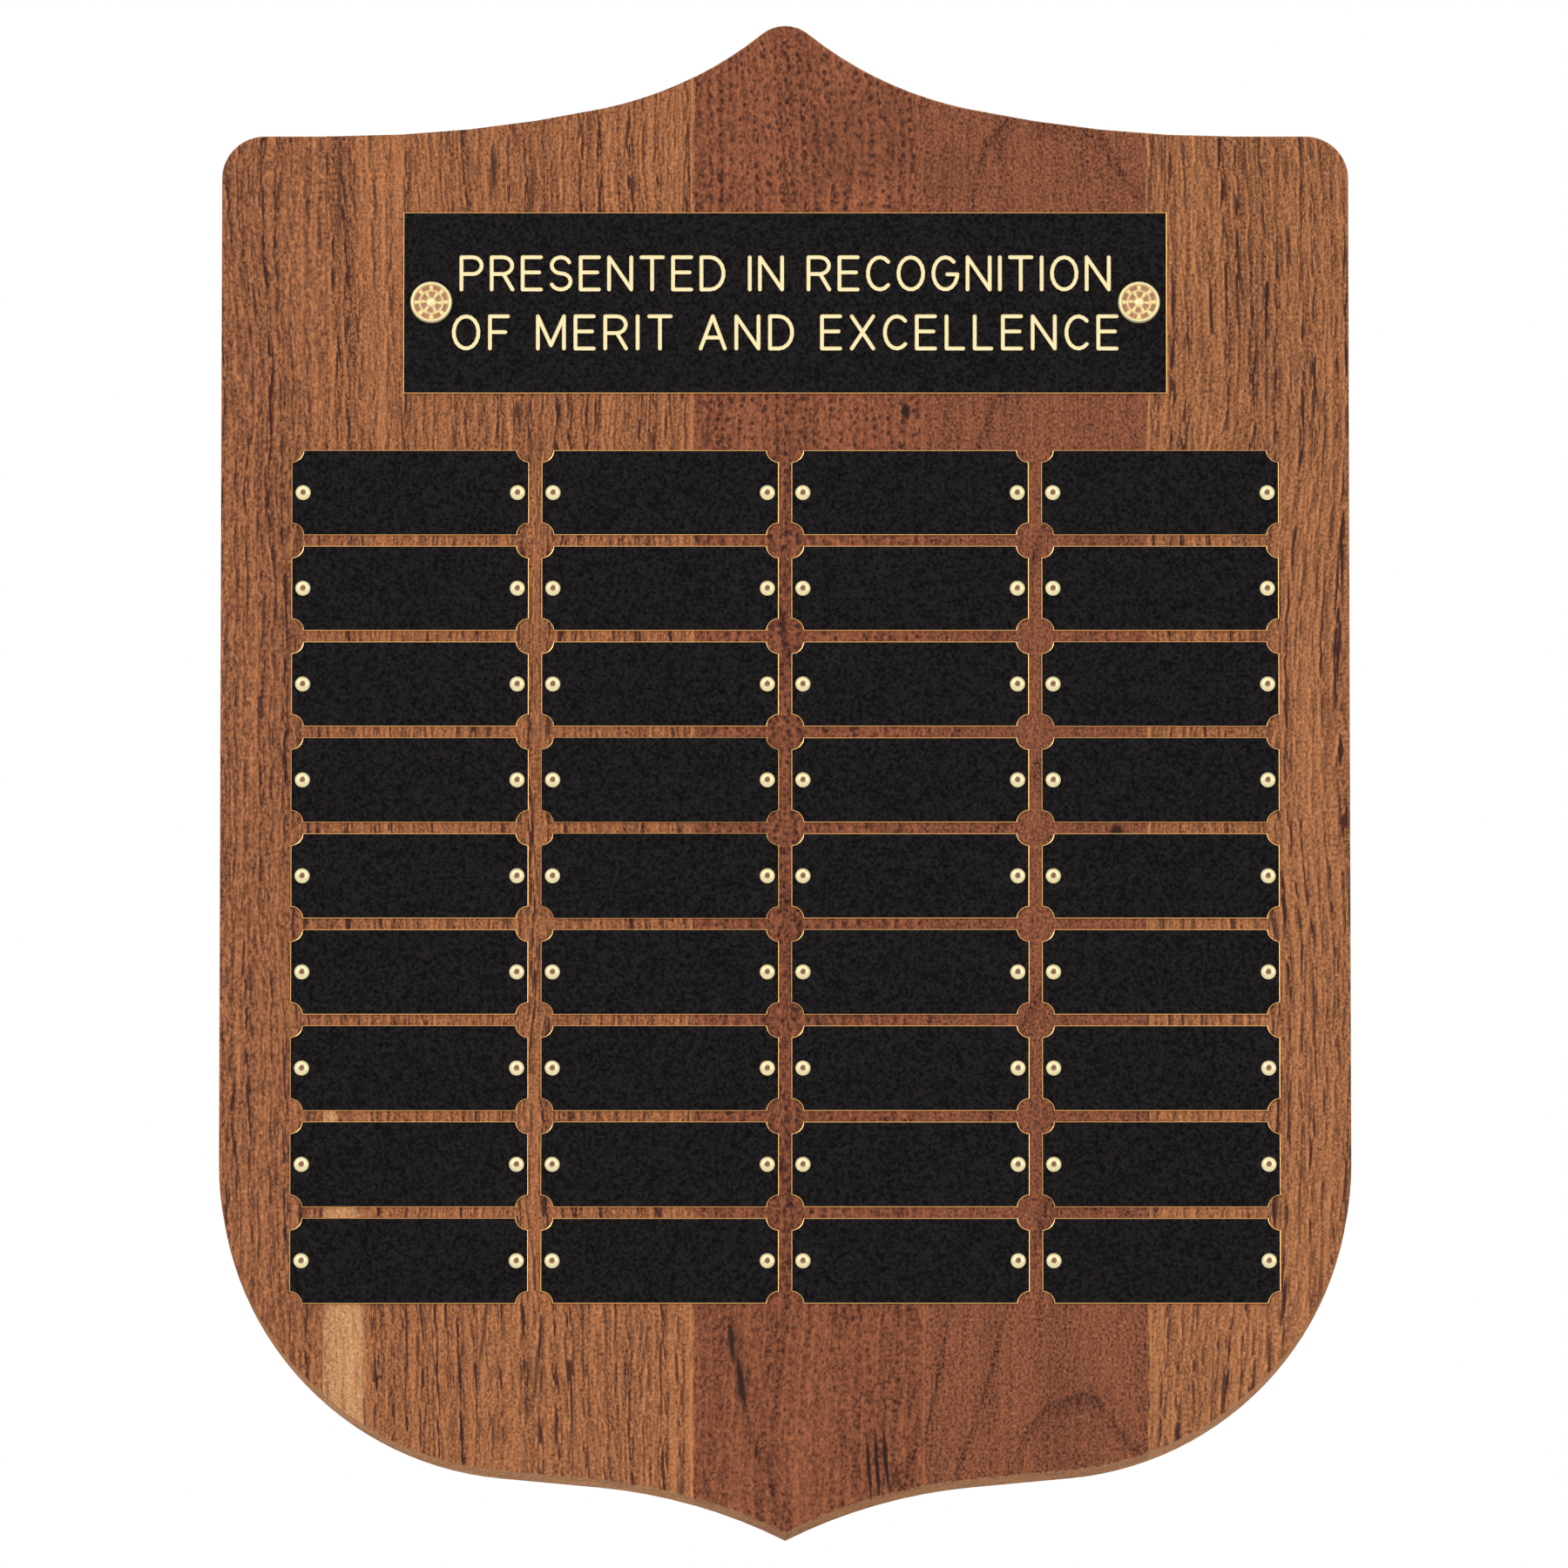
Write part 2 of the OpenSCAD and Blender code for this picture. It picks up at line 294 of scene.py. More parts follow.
# The sapwood: its colours, the distances below the peak, in mm, between which it widens, and
# its width in mm at both. A negative width hides it.
SAPWOOD_STAVE = "stave_2"
SAPWOOD_DARK = srgb(140, 92, 58)
SAPWOOD = srgb(238, 186, 130)
SAPWOOD_START, SAPWOOD_END = 250, 340
NO_SAPWOOD, SAPWOOD_WIDTH = -3.0, 11.3
SAPWOOD_RAGGEDNESS = 2.4
SAPWOOD_STRENGTH = 0.92
SAPWOOD_PORES = 0.3

# End grain: how squarely the edge cuts the fibres where its pale colour is faint and plain, and
# its strength at both. That pale, greyish colour is partly the sawn wood's own and partly a
# painted sheen.
CUT_ALONG, CUT_ACROSS = 0.25, 0.8
FAINT_END_GRAIN_AND_SHEEN, PLAIN_END_GRAIN_AND_SHEEN = 0.1, 0.85

# How deep the surface dips at a pore, and a hair's height as a share of that
PORE_DEPTH = 0.10 * MM
HAIR_HEIGHT = 0.4


def swing(shader, value, amount, base):
    """base with a 0 to 1 value's difference from its middle added, amount times."""
    return shader.math("MULTIPLY_ADD", shader.math("SUBTRACT", value, 0.5), amount, base)


def layer(shader, place, name):
    """One of the wood's noises, drawn out along the grain."""
    across, along, detail, roughness = LAYERS[name]
    stretched = shader.stretched(place, (across, across, along))
    return shader.noise(stretched, detail=detail, roughness=roughness)


def grain_position(shader, look):
    """Place in the wood with the fibres' slow wander taken out, in millimetres."""
    place = shader.moved(shader.position_mm(), look["offset"])
    ripple = shader.times(layer(shader, place, "ripple"), RIPPLE_MM)
    shift = shader.math("MULTIPLY_ADD", layer(shader, place, "wander"), WANDER_MM, ripple)
    x, y, z = shader.split(place)
    return shader.joined(shader.math("ADD", x, shift), y, z)


def ring_line(shader, grain, look):
    """Growth rings: each darkens slowly outwards to a thin dark line, and ends sharply."""
    pith_x, pith_y = look["pith"]
    x, y, z = shader.split(grain)
    across = shader.math("SUBTRACT", x, pith_x + look["offset"][0])
    depth = shader.math("SUBTRACT", y, pith_y + look["offset"][1])
    along = shader.math("SUBTRACT", z, look["offset"][2])
    depth = shader.math("MULTIPLY_ADD", along, look["lean"], depth)
    radius = shader.math("SQRT", shader.sum_of_squares(across, depth))
    count = shader.math("DIVIDE", radius, look["ring"])
    uneven = layer(shader, grain, "uneven_rings")
    turn = shader.math("FRACT", shader.math("MULTIPLY_ADD", uneven, RING_UNEVENNESS, count))
    rise = shader.ranged(turn, RING_DARKENS, RING_DARKEST)
    fall = shader.ranged(turn, RING_DARKEST, 1.0, 1.0, 0.0)
    return shader.times(rise, fall)


def wood_tone(shader, grain, look, figure, height_mm):
    """How light the wood is, from 0 to 1."""
    tone = MIDDLE_TONE
    for name in FIGURE:
        tone = swing(shader, figure[name], look[name], tone)
    fade = shader.ranged(
        height_mm, below_peak(FADE_END), below_peak(FADE_START), look["fade"], 0.0)
    tone = shader.math("ADD", tone, fade)
    rings = shader.times(ring_line(shader, grain, look), look["rings"])
    return shader.math("SUBTRACT", tone, rings, clamp=True)


def pores(shader, grain, kind):
    """Vessels cut open at the surface: broken dark dashes of the kind's width and length."""
    width, length, start, full = kind
    stretched = shader.stretched(grain, (0.5 / width, 0.5 / width, 0.5 / length))
    ragged = shader.noise(stretched, detail=2.0, roughness=0.55)
    return shader.ranged(ragged, start, full)


def row_weight(shader, grain, look):
    """1 along rows of pores up the grain, and look["between"] between the rows."""
    uneven = layer(shader, grain, "uneven_rows")
    count = shader.math("DIVIDE", shader.split(grain)[0], look["pitch"])
    turn = shader.math("FRACT", shader.math("MULTIPLY_ADD", uneven, ROW_UNEVENNESS, count))
    away = shader.math("ABSOLUTE", shader.math("SUBTRACT", turn, 0.5))
    return shader.ranged(away, ROW_OUTSIDE, ROW_MIDDLE, look["between"], 1.0)


def dot_rows(shader, grain):
    """Round pores of uneven size, loosely set out in rows up the grain."""
    x, _, z = shader.split(shader.stretched(grain, (DOTS_ACROSS, 0.0, DOTS_ALONG)))
    away, _ = shader.cells(shader.joined(x, z, 0.0), randomness=DOT_FREEDOM, dimensions="2D")
    away = swing(shader, layer(shader, grain, "dot_sizes"), DOT_VARIETY, away)
    return shader.ranged(away, DOT_OUTSIDE, DOT_MIDDLE)


def all_pores(shader, grain, look, streaks, height_mm):
    """Where a pore of any kind lies open, from 0 to 1. Long ones crowd in the dark streaks."""
    rows = row_weight(shader, grain, look)
    crowd = shader.ranged(streaks, DARK_STREAK, LIGHT_STREAK, 1.0, LIGHT_STREAK_PORES)
    crowd = shader.times(shader.times(rows, crowd), look["dashes"])
    dashes = shader.times(pores(shader, grain, LONG_PORES), crowd)
    specks = shader.times(pores(shader, grain, SHORT_PORES), rows)
    specks = shader.times(specks, look["specks"])
    if look["dots"]:
        dots = shader.times(dot_rows(shader, grain), look["dots"])
        dots = shader.times(dots, shader.ranged(rows, 0.1, 0.7, STRAY_DOTS, 1.0))
        specks = shader.math("MAXIMUM", specks, dots)
    thinned = shader.ranged(
        height_mm, below_peak(THIN_END), below_peak(THIN_START), look["foot"], 1.0)
    specks = shader.times(specks, thinned)
    return shader.math("MAXIMUM", dashes, specks, clamp=True)


def pore_lips(shader, grain, look, open_pores):
    """The pale wood on one side of the pores, wherever no pore lies open."""
    aside = shader.moved(grain, (LIP_OFFSET, 0.0, 0.0))
    long_lips, short_lips = (pores(shader, aside, kind) for kind in (LONG_PORES, SHORT_PORES))
    lips = shader.mix(look["specks"], long_lips, short_lips)
    lips = shader.times(lips, row_weight(shader, aside, look))
    return shader.math("SUBTRACT", lips, open_pores, clamp=True)


def sapwood_mask(shader, grain):
    """The pale strip down its stave's left edge, widest at the bottom."""
    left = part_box(SAPWOOD_STAVE)[0].x / MM
    x, _, z = shader.split(shader.position_mm())
    width = shader.ranged(
        z, below_peak(SAPWOOD_START), below_peak(SAPWOOD_END), NO_SAPWOOD, SAPWOOD_WIDTH)
    reach = shader.math("SUBTRACT", x, left)
    reach = swing(shader, layer(shader, grain, "sapwood_edge"), SAPWOOD_RAGGEDNESS, reach)
    inside = shader.math("SUBTRACT", width, reach)
    return shader.ranged(inside, -0.4, 1.4, 0.0, SAPWOOD_STRENGTH)


# How far a mark's edge wanders, in mm
MARK_WANDER = 1.4

# Dark marks in the wood: stave, x and distance below the peak, half width and half length, all
# in mm, then lean and strength
MARKS = (
    ("stave_3", -14.1, 355.5, 0.9, 6.5, -0.10, 0.95),
    ("stave_3", -11.7, 366.0, 0.9, 8.5, -0.12, 0.95),
    ("stave_3", -11.9, 362.0, 2.6, 15.0, -0.10, 0.35),
    ("stave_3", 22.2, 389.0, 0.65, 10.0, -0.07, 1.0),
    ("stave_3", 24.5, 388.0, 0.65, 11.5, -0.07, 1.0),
    ("stave_3", 26.8, 387.0, 0.65, 10.5, -0.07, 1.0),
    ("stave_3", 32.2, 104.5, 1.5, 2.8, 0.0, 1.0),
    ("stave_3", 21.8, 30.0, 17.0, 17.0, 0.0, 0.20),
    ("stave_4", 88.5, 218.3, 2.0, 2.8, 0.0, 1.0),
    ("stave_4", 43.6, 40.0, 9.0, 9.0, 0.0, 0.14),
    ("stave_4", 79.3, 382.0, 14.0, 22.0, 0.0, 0.14),
    ("stave_2", -119.4, 44.0, 0.9, 18.0, 0.0, 0.6),
    ("stave_2", -78.3, 40.0, 1.0, 9.0, 0.05, 0.7),
    ("stave_2", -67.9, 46.0, 0.9, 12.0, 0.05, 0.6),
    ("stave_2", -80.3, 352.0, 0.7, 14.0, 0.10, 0.6),
    ("stave_2", -65.9, 362.0, 0.7, 15.0, 0.12, 0.6),
)

# Pale lines along the grain, mostly beside a glue line: stave, x and half width, in mm, and
# strength
PALE_LINES = (
    ("stave_2", -25.0, 0.5, 0.6),
    ("stave_2", -29.2, 0.4, 0.35),
    ("stave_4", 36.9, 0.45, 0.5),
    ("stave_5", 97.3, 0.5, 0.6),
    ("stave_5", 100.5, 0.4, 0.35),
)


def mark(shader, x, z, centre_x, centre_z, half_w, half_l, lean):
    """A dark mineral mark: an ellipse with soft ends, along the grain or leaning across it."""
    along = shader.math("SUBTRACT", z, centre_z)
    across = shader.math("SUBTRACT", x, centre_x)
    across = shader.math("SUBTRACT", across, shader.times(along, lean))
    across = shader.math("DIVIDE", across, half_w)
    along = shader.math("DIVIDE", along, half_l)
    return shader.ranged(shader.sum_of_squares(across, along), 1.2, 0.1)


def add_marks(shader, stave, grain, colour):
    x, _, z = shader.split(shader.position_mm())
    ragged_x = swing(shader, layer(shader, grain, "mark_edges"), MARK_WANDER, x)
    for owner, centre, drop, half_w, half_l, lean, strength in MARKS:
        if owner == stave:
            one = mark(shader, ragged_x, z, centre, below_peak(drop), half_w, half_l, lean)
            colour = shader.mix(shader.times(one, strength), colour, MINERAL)
    return colour


def add_pale_lines(shader, stave, grain, colour, pale):
    broken = shader.ranged(layer(shader, grain, "line_breaks"), 0.35, 0.55)
    x = shader.split(shader.position_mm())[0]
    for owner, centre, half_w, strength in PALE_LINES:
        if owner == stave:
            away = shader.math("ABSOLUTE", shader.math("SUBTRACT", x, centre))
            line = shader.times(shader.ranged(away, half_w, 0.0), strength)
            colour = shader.mix(shader.times(line, broken), colour, pale)
    return colour


def sawn_wood(shader, colour, tone, grit, bump):
    """Bare, matt wood, with pale end grain where the outline cuts across the fibres; its greyish
    paleness is partly a painted sheen.
    """
    across = shader.math("ABSOLUTE", shader.split(shader.normal())[2])
    end_grain_and_sheen = shader.mix(tone, END_GRAIN_AND_SHEEN_DARK, END_GRAIN_AND_SHEEN)
    share = shader.ranged(across, CUT_ALONG, CUT_ACROSS, FAINT_END_GRAIN_AND_SHEEN, PLAIN_END_GRAIN_AND_SHEEN)
    colour = shader.mix(share, colour, end_grain_and_sheen)
    return shader.surface(
        Base_Color=colour, Roughness=shader.spread(grit, 0.72, 0.85), Specular_IOR_Level=0.0,
        Normal=bump,
    )


def lacquered_wood(shader, colour, open_pores, grit, bump):
    """Wood under a thin satin lacquer, which is duller in the open pores."""
    roughness = shader.spread(grit, 0.40, 0.52)
    roughness = shader.math("MULTIPLY_ADD", open_pores, 0.18, roughness)
    return shader.surface(
        Base_Color=colour, Roughness=roughness, Specular_IOR_Level=0.15,
        Coat_Weight=0.05, Coat_Roughness=0.35, Normal=bump,
    )


def walnut(stave, sawn=False):
    """A stave's lacquered walnut, or the bare walnut of its sawn edge."""
    look = WALNUTS[stave]
    shader = material_shader(("sawn_" if sawn else "walnut_") + stave)
    grain = grain_position(shader, look)
    height_mm = shader.split(shader.position_mm())[2]
    figure = {name: layer(shader, grain, name) for name in FIGURE}
    tone = wood_tone(shader, grain, look, figure, height_mm)
    pale = srgb(*look["light"])
    colour = shader.mix(tone, srgb(*look["dark"]), pale)

    open_pores = all_pores(shader, grain, look, figure["streaks"], height_mm)
    if stave == SAPWOOD_STAVE:
        mask = sapwood_mask(shader, grain)
        colour = shader.mix(mask, colour, shader.mix(tone, SAPWOOD_DARK, SAPWOOD))
        kept = shader.ranged(mask, 0.0, 1.0, 1.0, SAPWOOD_PORES)
        open_pores = shader.times(open_pores, kept)
    lips = shader.times(pore_lips(shader, grain, look, open_pores), look["lips"])
    colour = shader.mix(lips, colour, pale)
    colour = shader.mix(shader.times(open_pores, PORE_STRENGTH), colour, PORE)
    colour = add_pale_lines(shader, stave, grain, colour, pale)
    colour = add_marks(shader, stave, grain, colour)

    hair_height = shader.times(figure["hairs"], HAIR_HEIGHT)
    height = shader.math("MULTIPLY_ADD", open_pores, -1.0, hair_height)
    bump = shader.bump(height, 0.45, PORE_DEPTH)
    if sawn:
        return sawn_wood(shader, colour, tone, figure["grit"], bump)
    return lacquered_wood(shader, colour, open_pores, figure["grit"], bump)


# ---- Metals and lacquer ----

BRASS = srgb(255, 240, 186)
BARE_EDGE = srgb(255, 204, 126)
LACQUER = srgb(6, 4, 5)
LACQUER_WORN = srgb(33, 29, 30)
DUST = srgb(104, 98, 100)
# The pins' brownish tint is mostly painted shade on the middle of each dome, plus a faint real
# stain
PIN_TARNISH_AND_SHADE = srgb(140, 96, 72)
TACK_TARNISH = srgb(196, 146, 120)
CUT_BRASS, CUT_BRASS_DULL = srgb(255, 242, 196), srgb(250, 226, 160)
ZINC = srgb(206, 209, 214)
YELLOW_ZINC = srgb(214, 204, 168)

# How squarely a plate's surface faces forwards, as a cosine, where its lacquer starts to give
# way to bare brass and where the brass is fully bare
LACQUER_ENDS, BRASS_BARE = 0.965, 0.93


def worn_black(shader, place, mottle):
    """The lacquer's colour: nearly black, with a fine speckle, a mottle and rare dust."""
    speckle = shader.noise(place, detail=2.0, roughness=0.6, scale=1.25)
    grime = shader.math("MULTIPLY_ADD", shader.ranged(mottle, 0.35, 0.7), 0.2, -0.1)
    grime = shader.math("ADD", shader.ranged(speckle, 0.33, 0.67), grime, clamp=True)
    black = shader.mix(grime, LACQUER, LACQUER_WORN)
    away, cell = shader.cells(shader.stretched(place, (0.22, 0.22, 0.22)))
    rare = shader.ranged(shader.split(cell)[1], 0.86, 0.90)
    dust = shader.times(shader.ranged(away, 0.12, 0.05), rare)
    return shader.mix(shader.times(dust, 0.5), black, DUST)


def lacquered_plate():
    """Satin black lacquer over brass, bare and bright where the sheet's edge turns down."""
    shader = material_shader("black_lacquer")
    place = shader.position_mm()
    facing = shader.times(shader.split(shader.normal())[1], -1.0)
    chips = shader.noise(place, detail=4.0, roughness=0.7, scale=1.7)
    bare = shader.ranged(swing(shader, chips, 0.06, facing), LACQUER_ENDS, BRASS_BARE)
    mottle = shader.noise(place, detail=3.0, roughness=0.6, scale=0.55)
    colour = shader.mix(bare, worn_black(shader, place, mottle), BARE_EDGE)
    roughness = shader.math("MULTIPLY_ADD", bare, -0.10, shader.spread(mottle, 0.34, 0.44))
    peel = shader.noise(place, detail=2.0, scale=2.2)
    return shader.surface(
        Base_Color=colour, Metallic=bare, Roughness=roughness, Specular_IOR_Level=0.10,
        Normal=shader.bump(peel, 0.08, 0.01 * MM),
    )


def polished_brass(name, roughness, metallic, tarnish_and_shade_tint):
    """Brass with fine turning marks and a little uneven shine, tarnished in its hollows; on the
    pins, painted shade darkens the middle of the dome.

    The mesh's own attribute gives each point a share from 0 to 1: on the tacks, how deep in a
    recess it lies, where the brass is tarnished; on the pins, how much painted shade darkens it.
    """
    shader = material_shader(name)
    place = shader.position_mm()
    mottle = shader.noise(place, detail=3.0, roughness=0.6, scale=0.9)
    hollow = shader.add("ShaderNodeAttribute", attribute_name="hollow").outputs["Fac"]
    stain = shader.ranged(mottle, 0.45, 0.75, 0.0, 0.12)
    # On the pins this dulling is painted shade in the dome's middle; on the tacks it is tarnish in
    # their recesses
    dull = shader.math("ADD", stain, hollow, clamp=True)
    metal = shader.math("MULTIPLY_ADD", hollow, -0.8 * metallic, metallic, clamp=True)
    rough = shader.spread(mottle, roughness, roughness + 0.08)
    rough = shader.math("MULTIPLY_ADD", hollow, 0.25, rough)
    marks = shader.noise(shader.stretched(place, (9.0, 9.0, 2.0)), detail=3.0, roughness=0.7)
    return shader.surface(
        Base_Color=shader.mix(dull, BRASS, tarnish_and_shade_tint), Metallic=metal, Roughness=rough,
        Specular_IOR_Level=0.3, Normal=shader.bump(marks, 0.12, 0.01 * MM),
    )


def engraved_brass():
    """Bare brass in the bottom of a cut letter, with the cutter's own fine marks."""
    shader = material_shader("engraved_brass")
    marks = shader.noise(shader.position_mm(), detail=3.0, roughness=0.65, scale=4.0)
    colour = shader.mix(shader.ranged(marks, 0.4, 0.75), CUT_BRASS, CUT_BRASS_DULL)
    return shader.surface(
        Base_Color=colour, Metallic=0.12, Roughness=shader.spread(marks, 0.42, 0.55),
        Normal=shader.bump(marks, 0.2, 0.02 * MM),
    )


def plated_steel(name, tint, roughness):
    """Zinc-plated steel: brushed along its length, with a faint crystal mottle."""
    shader = material_shader(name)
    place = shader.position_mm()
    brushing = shader.noise(shader.stretched(place, (7.0, 7.0, 0.25)), detail=4.0, roughness=0.65)
    crystals, _ = shader.cells(shader.stretched(place, (0.5, 0.5, 0.5)))
    darker = tuple(0.72 * level for level in tint[:3]) + (1.0,)
    return shader.surface(
        Base_Color=shader.mix(shader.ranged(crystals, 0.1, 0.8, 0.0, 0.5), tint, darker),
        Metallic=1.0, Roughness=shader.spread(brushing, roughness, roughness + 0.15),
        Normal=shader.bump(brushing, 0.2, 0.02 * MM),
    )


# ---- Mesh helpers ----

# Corners closer than WELD are joined, and so are faces that turn by less than FLAT_TURN degrees
WELD = 0.001 * MM
FLAT_TURN = 0.3


def new_piece(name, mesh):
    """A new object at the frame's origin, whose place is in its mesh."""
    piece = bpy.data.objects.new(name, mesh)
    bpy.context.scene.collection.objects.link(piece)
    return piece


def welded(node):
    """A CAD node's mesh as a bmesh whose faces share their corners."""
    solid = bmesh.new()
    solid.from_mesh(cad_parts[node].data)
    bmesh.ops.remove_doubles(solid, verts=solid.verts, dist=WELD)
    return solid


def whole_mesh(node):
    """A CAD node's mesh as a bmesh, with each flat side one face."""
    solid = welded(node)
    bmesh.ops.dissolve_limit(
        solid, angle_limit=math.radians(FLAT_TURN), verts=solid.verts, edges=solid.edges)
    return solid


def solids_of(node):
    """Lowest and highest corner of each separate solid in a CAD node."""
    mesh = welded(node)
    seen, boxes = set(), []
    for start in mesh.verts:
        if start in seen:
            continue
        seen.add(start)
        group, waiting = [], [start]
        while waiting:
            vert = waiting.pop()
            group.append(vert.co.copy())
            for edge in vert.link_edges:
                other = edge.other_vert(vert)
                if other not in seen:
                    seen.add(other)
                    waiting.append(other)
        corners = np.array(group)
        boxes.append((Vector(corners.min(0)), Vector(corners.max(0))))
    mesh.free()
    return sorted(boxes, key=lambda pair: (-pair[0].z, pair[0].x))


def finished(solid, name, materials, sharp_degrees=None):
    """A piece from a bmesh: faceted, or smooth except where it turns by more than sharp_degrees."""
    mesh = bpy.data.meshes.new(name)
    solid.to_mesh(mesh)
    solid.free()
    for material in materials:
        mesh.materials.append(material)
    piece = new_piece(name, mesh)
    if sharp_degrees is not None:
        mesh.shade_smooth()
        mesh.set_sharp_from_angle(angle=math.radians(sharp_degrees))
        weighted = piece.modifiers.new("even_shading", "WEIGHTED_NORMAL")
        weighted.keep_sharp = True
    return piece


def stands_for(piece, *nodes):
    """The piece replaces these CAD nodes, which are hidden, and rides the plaque."""
    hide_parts(*nodes)
    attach(piece, BODY)


def mesh_from(name, points, faces):
    """A smooth mesh from its points and each face's list of them."""
    mesh = bpy.data.meshes.new(name)
    mesh.from_pydata(points, [], faces)
    mesh.shade_smooth()
    return mesh


def lathe(solid, profile, centre, face_y, segments):
    """Turns a profile of (radius, height) pairs round an axis that comes out of the front."""
    rings = []
    for radius, height in profile:
        y = face_y - height
        if radius == 0:
            rings.append([solid.verts.new((centre.x, y, centre.z))])
            continue
        ring = []
        for step in range(segments):
            turn = 2 * math.pi * step / segments
            place = (centre.x + radius * math.cos(turn), y, centre.z + radius * math.sin(turn))
            ring.append(solid.verts.new(place))
        rings.append(ring)
    for first, second in zip(rings, rings[1:]):
        for step in range(segments):
            after = (step + 1) % segments
            corners = [first[step % len(first)], first[after % len(first)]]
            corners += [second[after % len(second)], second[step % len(second)]]
            solid.faces.new(list(dict.fromkeys(corners)))
    return rings


def bevel(solid, edges, width, segments, material=-1):
    bmesh.ops.bevel(
        solid, geom=edges, offset=width, offset_type="OFFSET", segments=segments, profile=0.5,
        affect="EDGES", clamp_overlap=True, material=material)


# ---- Board ----

BOARD_EDGE = 0.55 * MM
NEAR = 0.02 * MM
FACE_WOOD, SAWN_WOOD = 0, 1


def is_outline_side(face, seams):
    """True for a side face of the board's outline, and not of a seam, hole or recess."""
    depths = [vert.co.y for vert in face.verts]
    if min(depths) > FRONT_Y + NEAR or max(depths) < BACK_Y - NEAR:
        return False
    if abs(face.normal.y) > 0.1:
        return False
    return not any(all(abs(vert.co.x - x) < NEAR for vert in face.verts) for x in seams)


def outline_edges(solid, seams):
    """Edges where the board's outline meets its front or its back."""
    found = []
    for edge in solid.edges:
        sides = [face for face in edge.link_faces if is_outline_side(face, seams)]
        flats = [face for face in edge.link_faces if abs(face.normal.y) > 0.99]
        if len(sides) == 1 and len(flats) == 1:
            found.append(edge)
    return found


def make_board():
    """The five staves, each with lacquered faces and sawn, softened outer edges."""
    ends = (cad_low.x, cad_high.x)
    for stave in STAVES:
        low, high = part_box(stave)
        seams = [x for x in (low.x, high.x) if min(abs(x - end) for end in ends) > NEAR]
        solid = whole_mesh(stave)
        for face in solid.faces:
            face.material_index = SAWN_WOOD if is_outline_side(face, seams) else FACE_WOOD
        bevel(solid, outline_edges(solid, seams), BOARD_EDGE, segments=3, material=SAWN_WOOD)
        woods = [walnut(stave), walnut(stave, sawn=True)]
        piece = finished(solid, "walnut_" + stave, woods, sharp_degrees=34)
        stands_for(piece, stave)


# ---- Name plates and header plate ----

SHEARED_EDGE = 0.20 * MM
PIN_HOLE_REACH = 1.5 * MM

STROKE = 1.08 * MM
CAPITAL = 9.8 * MM
LINE_GAP = 6.2 * MM
CURVE_STEP = 22

# A groove's depth, how much narrower its bottom is and how much wider its cutter's top is on
# each side, how far the cutter stands out of the plate, and the steps of its round ends
GROOVE_DEPTH = 0.22 * MM
GROOVE_TAPER = 0.08 * MM
CUTTER_FLARE = 0.02 * MM
CUTTER_ABOVE = 0.3 * MM
ROUND_END_STEPS = 7

# The words of each line, and its width as a share of the plate's
LINES = (("PRESENTED IN RECOGNITION", 0.853), ("OF MERIT AND EXCELLENCE", 0.873))

# The gap between two words, as a multiple of the gap between two letters
WORD_SPACE = 2.6


def curve(centre_x, centre_y, radius_x, radius_y, start, end):
    """Points along part of an ellipse, from one angle to another in degrees."""
    steps = max(2, math.ceil(abs(end - start) / CURVE_STEP))
    turns = [math.radians(start + (end - start) * i / steps) for i in range(steps + 1)]
    return [(centre_x + radius_x * math.cos(a), centre_y + radius_y * math.sin(a)) for a in turns]


# Each capital's strokes, as lines between points; a capital is 1 high
GLYPHS = {
    "A": [[(0, 0), (0.37, 1), (0.74, 0)], [(0.13, 0.34), (0.61, 0.34)]],
    "C": [curve(0.37, 0.5, 0.37, 0.5, 46, 314)],
    "D": [[(0, 0), (0, 1), (0.27, 1)] + curve(0.27, 0.5, 0.41, 0.5, 90, -90) + [(0, 0)]],
    "E": [[(0.56, 1), (0, 1), (0, 0), (0.56, 0)], [(0, 0.53), (0.51, 0.53)]],
    "F": [[(0.55, 1), (0, 1), (0, 0)], [(0, 0.51), (0.47, 0.51)]],
    "G": [curve(0.37, 0.5, 0.37, 0.5, 46, 345) + [(0.74, 0.47), (0.43, 0.47)]],
    "I": [[(0, 0), (0, 1)]],
    "L": [[(0, 1), (0, 0), (0.51, 0)]],
    "M": [[(0, 0), (0, 1), (0.4, 0.1), (0.8, 1), (0.8, 0)]],
    "N": [[(0, 0), (0, 1), (0.68, 0), (0.68, 1)]],
    "O": [curve(0.38, 0.5, 0.38, 0.5, 90, 450)],
    "P": [[(0, 0), (0, 1), (0.35, 1)] + curve(0.35, 0.74, 0.27, 0.26, 90, -90) + [(0, 0.48)]],
    "R": [
        [(0, 0), (0, 1), (0.35, 1)] + curve(0.35, 0.74, 0.28, 0.26, 90, -90) + [(0, 0.48)],
        [(0.36, 0.48), (0.64, 0)],
    ],
    "S": [curve(0.3, 0.75, 0.28, 0.25, 22, 270) + curve(0.3, 0.25, 0.3, 0.25, 90, -158)[1:]],
    "T": [[(0, 1), (0.66, 1)], [(0.33, 1), (0.33, 0)]],
    "X": [[(0, 0), (0.66, 1)], [(0, 1), (0.66, 0)]],
}


def glyph_width(letter):
    return max(x for stroke in GLYPHS[letter] for x, _ in stroke)


